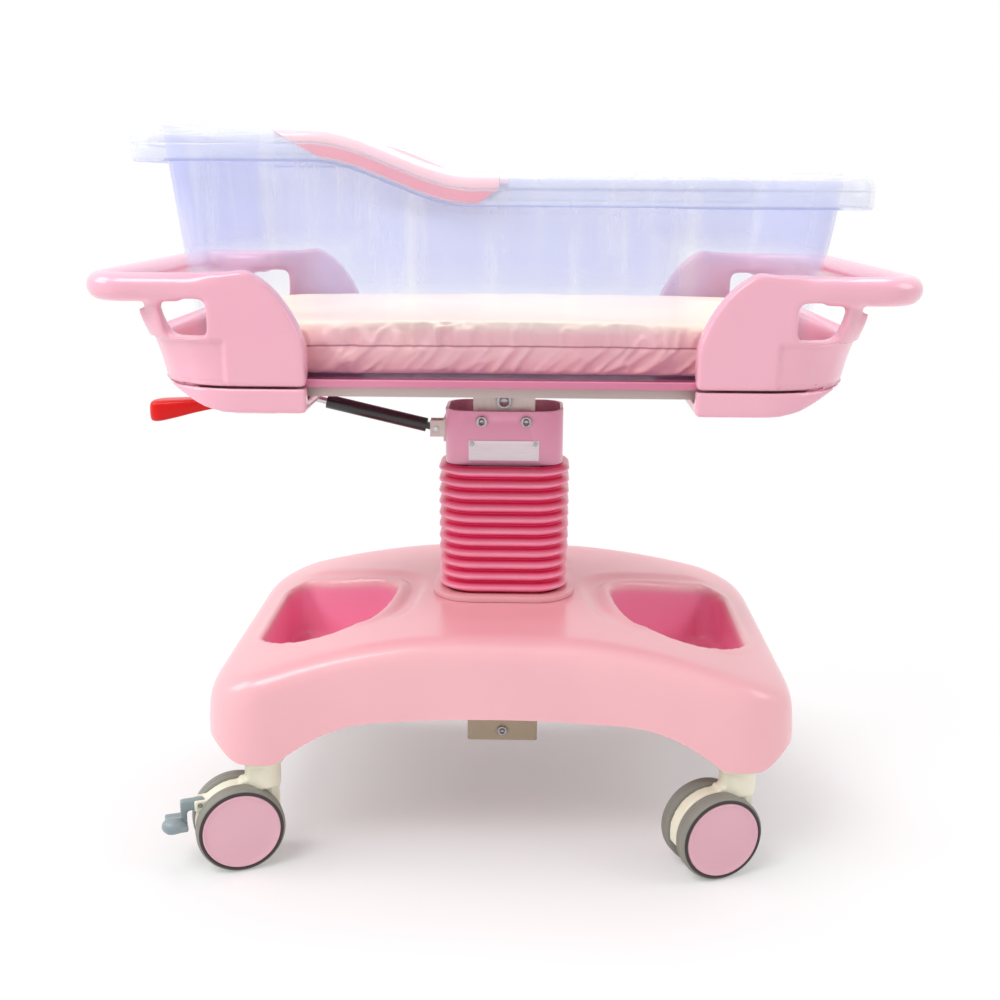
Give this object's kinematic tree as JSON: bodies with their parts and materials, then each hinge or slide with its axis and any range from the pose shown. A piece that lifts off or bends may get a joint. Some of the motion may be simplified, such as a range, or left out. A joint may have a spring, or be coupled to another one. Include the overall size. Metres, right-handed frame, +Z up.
{
  "type": "hospital bassinet",
  "caption": "Rolling newborn bassinet: a clear tub with a stepped rim on a tilting deck, a bellows-covered lifting column and a moulded base with swivel casters.",
  "frame": {"origin": "centre of the footprint, on the floor under the casters", "axes": "+X to the foot end, -X to the high head end with the tilt lever, +Y to the far long side, +Z up"},
  "size_m": [0.872, 0.5254, 0.8132],
  "materials": {
    "cover_pink": "gloss",
    "housing_pink": "gloss",
    "handle_pink": "gloss",
    "frame_paint": "satin",
    "stem_steel": "satin",
    "fork_cream": "satin",
    "tyre_grey": "matte",
    "cap_pink": "satin",
    "pedal_grey": "satin",
    "post_paint": "satin",
    "guide_white": "matte",
    "block_paint": "satin",
    "screw_steel": "satin",
    "cylinder_black": "satin",
    "rod_chrome": "polished",
    "collar_mauve": "satin",
    "plate_silver": "brushed",
    "bellows_rose": "satin",
    "lever_red": "gloss",
    "tray_pink": "gloss",
    "tub_clear": "clear",
    "strip_pink": "gloss",
    "mattress_cover": "coated"
  },
  "bodies": {
    "base": {"base_cover": "cover_pink", "base_frame": "frame_paint", "base_cover_screws": "screw_steel", "caster_stems": "stem_steel", "column_outer_tube": "frame_paint", "column_guide_bushes": "guide_white", "column_foot_block": "block_paint", "foot_block_bolt": "screw_steel", "bellows_ring": "cover_pink", "height_spring_cylinder": "cylinder_black"},
    "caster_head_near": {"caster_head_near_fork": "fork_cream"},
    "wheels_head_near": {"caster_head_near_axle": "screw_steel", "caster_head_near_hubs": "cap_pink", "caster_head_near_tyres": "tyre_grey"},
    "caster_head_far": {"caster_head_far_fork": "fork_cream"},
    "wheels_head_far": {"caster_head_far_axle": "screw_steel", "caster_head_far_hubs": "cap_pink", "caster_head_far_tyres": "tyre_grey"},
    "caster_foot_near": {"caster_foot_near_fork": "fork_cream"},
    "wheels_foot_near": {"caster_foot_near_axle": "screw_steel", "caster_foot_near_hubs": "cap_pink", "caster_foot_near_tyres": "tyre_grey"},
    "caster_foot_far": {"caster_foot_far_fork": "fork_cream"},
    "wheels_foot_far": {"caster_foot_far_axle": "screw_steel", "caster_foot_far_hubs": "cap_pink", "caster_foot_far_tyres": "tyre_grey"},
    "pedal_head_near": {"brake_pedal_head_near": "pedal_grey"},
    "pedal_foot_far": {"brake_pedal_foot_far": "pedal_grey"},
    "column": {"column_post": "post_paint", "height_spring_rod": "rod_chrome", "column_collar": "collar_mauve", "collar_screws": "screw_steel", "name_plate": "plate_silver", "name_plate_rivets": "plate_silver", "tilt_spring_bracket": "frame_paint", "tilt_spring_pin": "screw_steel", "tilt_pivot_bolt": "screw_steel", "bellows": "bellows_rose"},
    "deck": {"tilt_bracket": "frame_paint", "deck_frame": "frame_paint", "deck_tray": "tray_pink", "head_housing_lower": "housing_pink", "head_housing_upper": "housing_pink", "foot_housing_lower": "housing_pink", "foot_housing_upper": "housing_pink", "housing_screws": "screw_steel", "head_handle": "handle_pink", "foot_handle": "handle_pink", "release_bracket": "frame_paint", "release_pins": "screw_steel"},
    "spring_cylinder": {"tilt_spring_cylinder": "cylinder_black"},
    "spring_rod": {"tilt_spring_rod": "rod_chrome", "tilt_release_head": "screw_steel"},
    "release_lever": {"release_lever_arm": "screw_steel", "release_lever_grip": "lever_red"},
    "tub": {"tub": "tub_clear", "rim_strip_near": "strip_pink", "rim_strip_far": "strip_pink"},
    "mattress": {"mattress": "mattress_cover"}
  },
  "joints": [
    {"name": "height_slide", "type": "slide", "parent": "base", "child": "column", "axis": [0, 0, 1], "range_m": [0, 0.2], "deforming": ["bellows"]},
    {"name": "deck_tilt", "type": "hinge", "parent": "column", "child": "deck", "pos_m": [0, 0, 0.509], "axis": [0, 1, 0], "range_deg": [-12, 12]},
    {"name": "spring_cylinder_swing", "type": "hinge", "parent": "column", "child": "spring_cylinder", "pos_m": [-0.084, 0, 0.469], "axis": [0, 1, 0], "range_deg": [-16.2, 16.2]},
    {"name": "spring_rod_slide", "type": "slide", "parent": "spring_cylinder", "child": "spring_rod", "axis": [-0.9739, 0, 0.2269], "range_m": [-0.0121, 0.0121]},
    {"name": "tilt_release", "type": "hinge", "parent": "deck", "child": "release_lever", "pos_m": [-0.316, 0, 0.495], "axis": [0, 1, 0], "range_deg": [0, 12], "stiffness_Nm_per_rad": 0.8, "springref_deg": -14.32},
    {"name": "tub_lift", "type": "slide", "parent": "deck", "child": "tub", "axis": [0, 0, 1], "range_m": [0, 0.3]},
    {"name": "mattress_lift", "type": "slide", "parent": "tub", "child": "mattress", "axis": [0, 0, 1], "range_m": [0, 0.25]},
    {"name": "swivel_head_near", "type": "hinge", "parent": "base", "child": "caster_head_near", "pos_m": [-0.27, -0.205, 0.1], "axis": [0, 0, 1], "continuous": true},
    {"name": "roll_head_near", "type": "hinge", "parent": "caster_head_near", "child": "wheels_head_near", "pos_m": [-0.29819, -0.21526, 0.05], "axis": [-0.342, 0.9397, 0], "continuous": true},
    {"name": "swivel_head_far", "type": "hinge", "parent": "base", "child": "caster_head_far", "pos_m": [-0.27, 0.205, 0.1], "axis": [0, 0, 1], "continuous": true},
    {"name": "roll_head_far", "type": "hinge", "parent": "caster_head_far", "child": "wheels_head_far", "pos_m": [-0.29819, 0.21526, 0.05], "axis": [0.342, 0.9397, 0], "continuous": true},
    {"name": "swivel_foot_near", "type": "hinge", "parent": "base", "child": "caster_foot_near", "pos_m": [0.27, -0.205, 0.1], "axis": [0, 0, 1], "continuous": true},
    {"name": "roll_foot_near", "type": "hinge", "parent": "caster_foot_near", "child": "wheels_foot_near", "pos_m": [0.24181, -0.21526, 0.05], "axis": [-0.342, 0.9397, 0], "continuous": true},
    {"name": "swivel_foot_far", "type": "hinge", "parent": "base", "child": "caster_foot_far", "pos_m": [0.27, 0.205, 0.1], "axis": [0, 0, 1], "continuous": true},
    {"name": "roll_foot_far", "type": "hinge", "parent": "caster_foot_far", "child": "wheels_foot_far", "pos_m": [0.24181, 0.21526, 0.05], "axis": [0.342, 0.9397, 0], "continuous": true},
    {"name": "brake_head_near", "type": "hinge", "parent": "caster_head_near", "child": "pedal_head_near", "pos_m": [-0.33766, -0.22963, 0.078], "axis": [-0.342, 0.9397, 0], "range_deg": [-10, 0]},
    {"name": "brake_foot_far", "type": "hinge", "parent": "caster_foot_far", "child": "pedal_foot_far", "pos_m": [0.20234, 0.22963, 0.078], "axis": [0.342, 0.9397, 0], "range_deg": [-10, 0]}
  ],
  "couplings": [
    {"joint": "spring_cylinder_swing", "follows": "deck_tilt", "ratio": 1.342},
    {"joint": "spring_rod_slide", "follows": "deck_tilt", "m_per_rad": 0.05737}
  ]
}
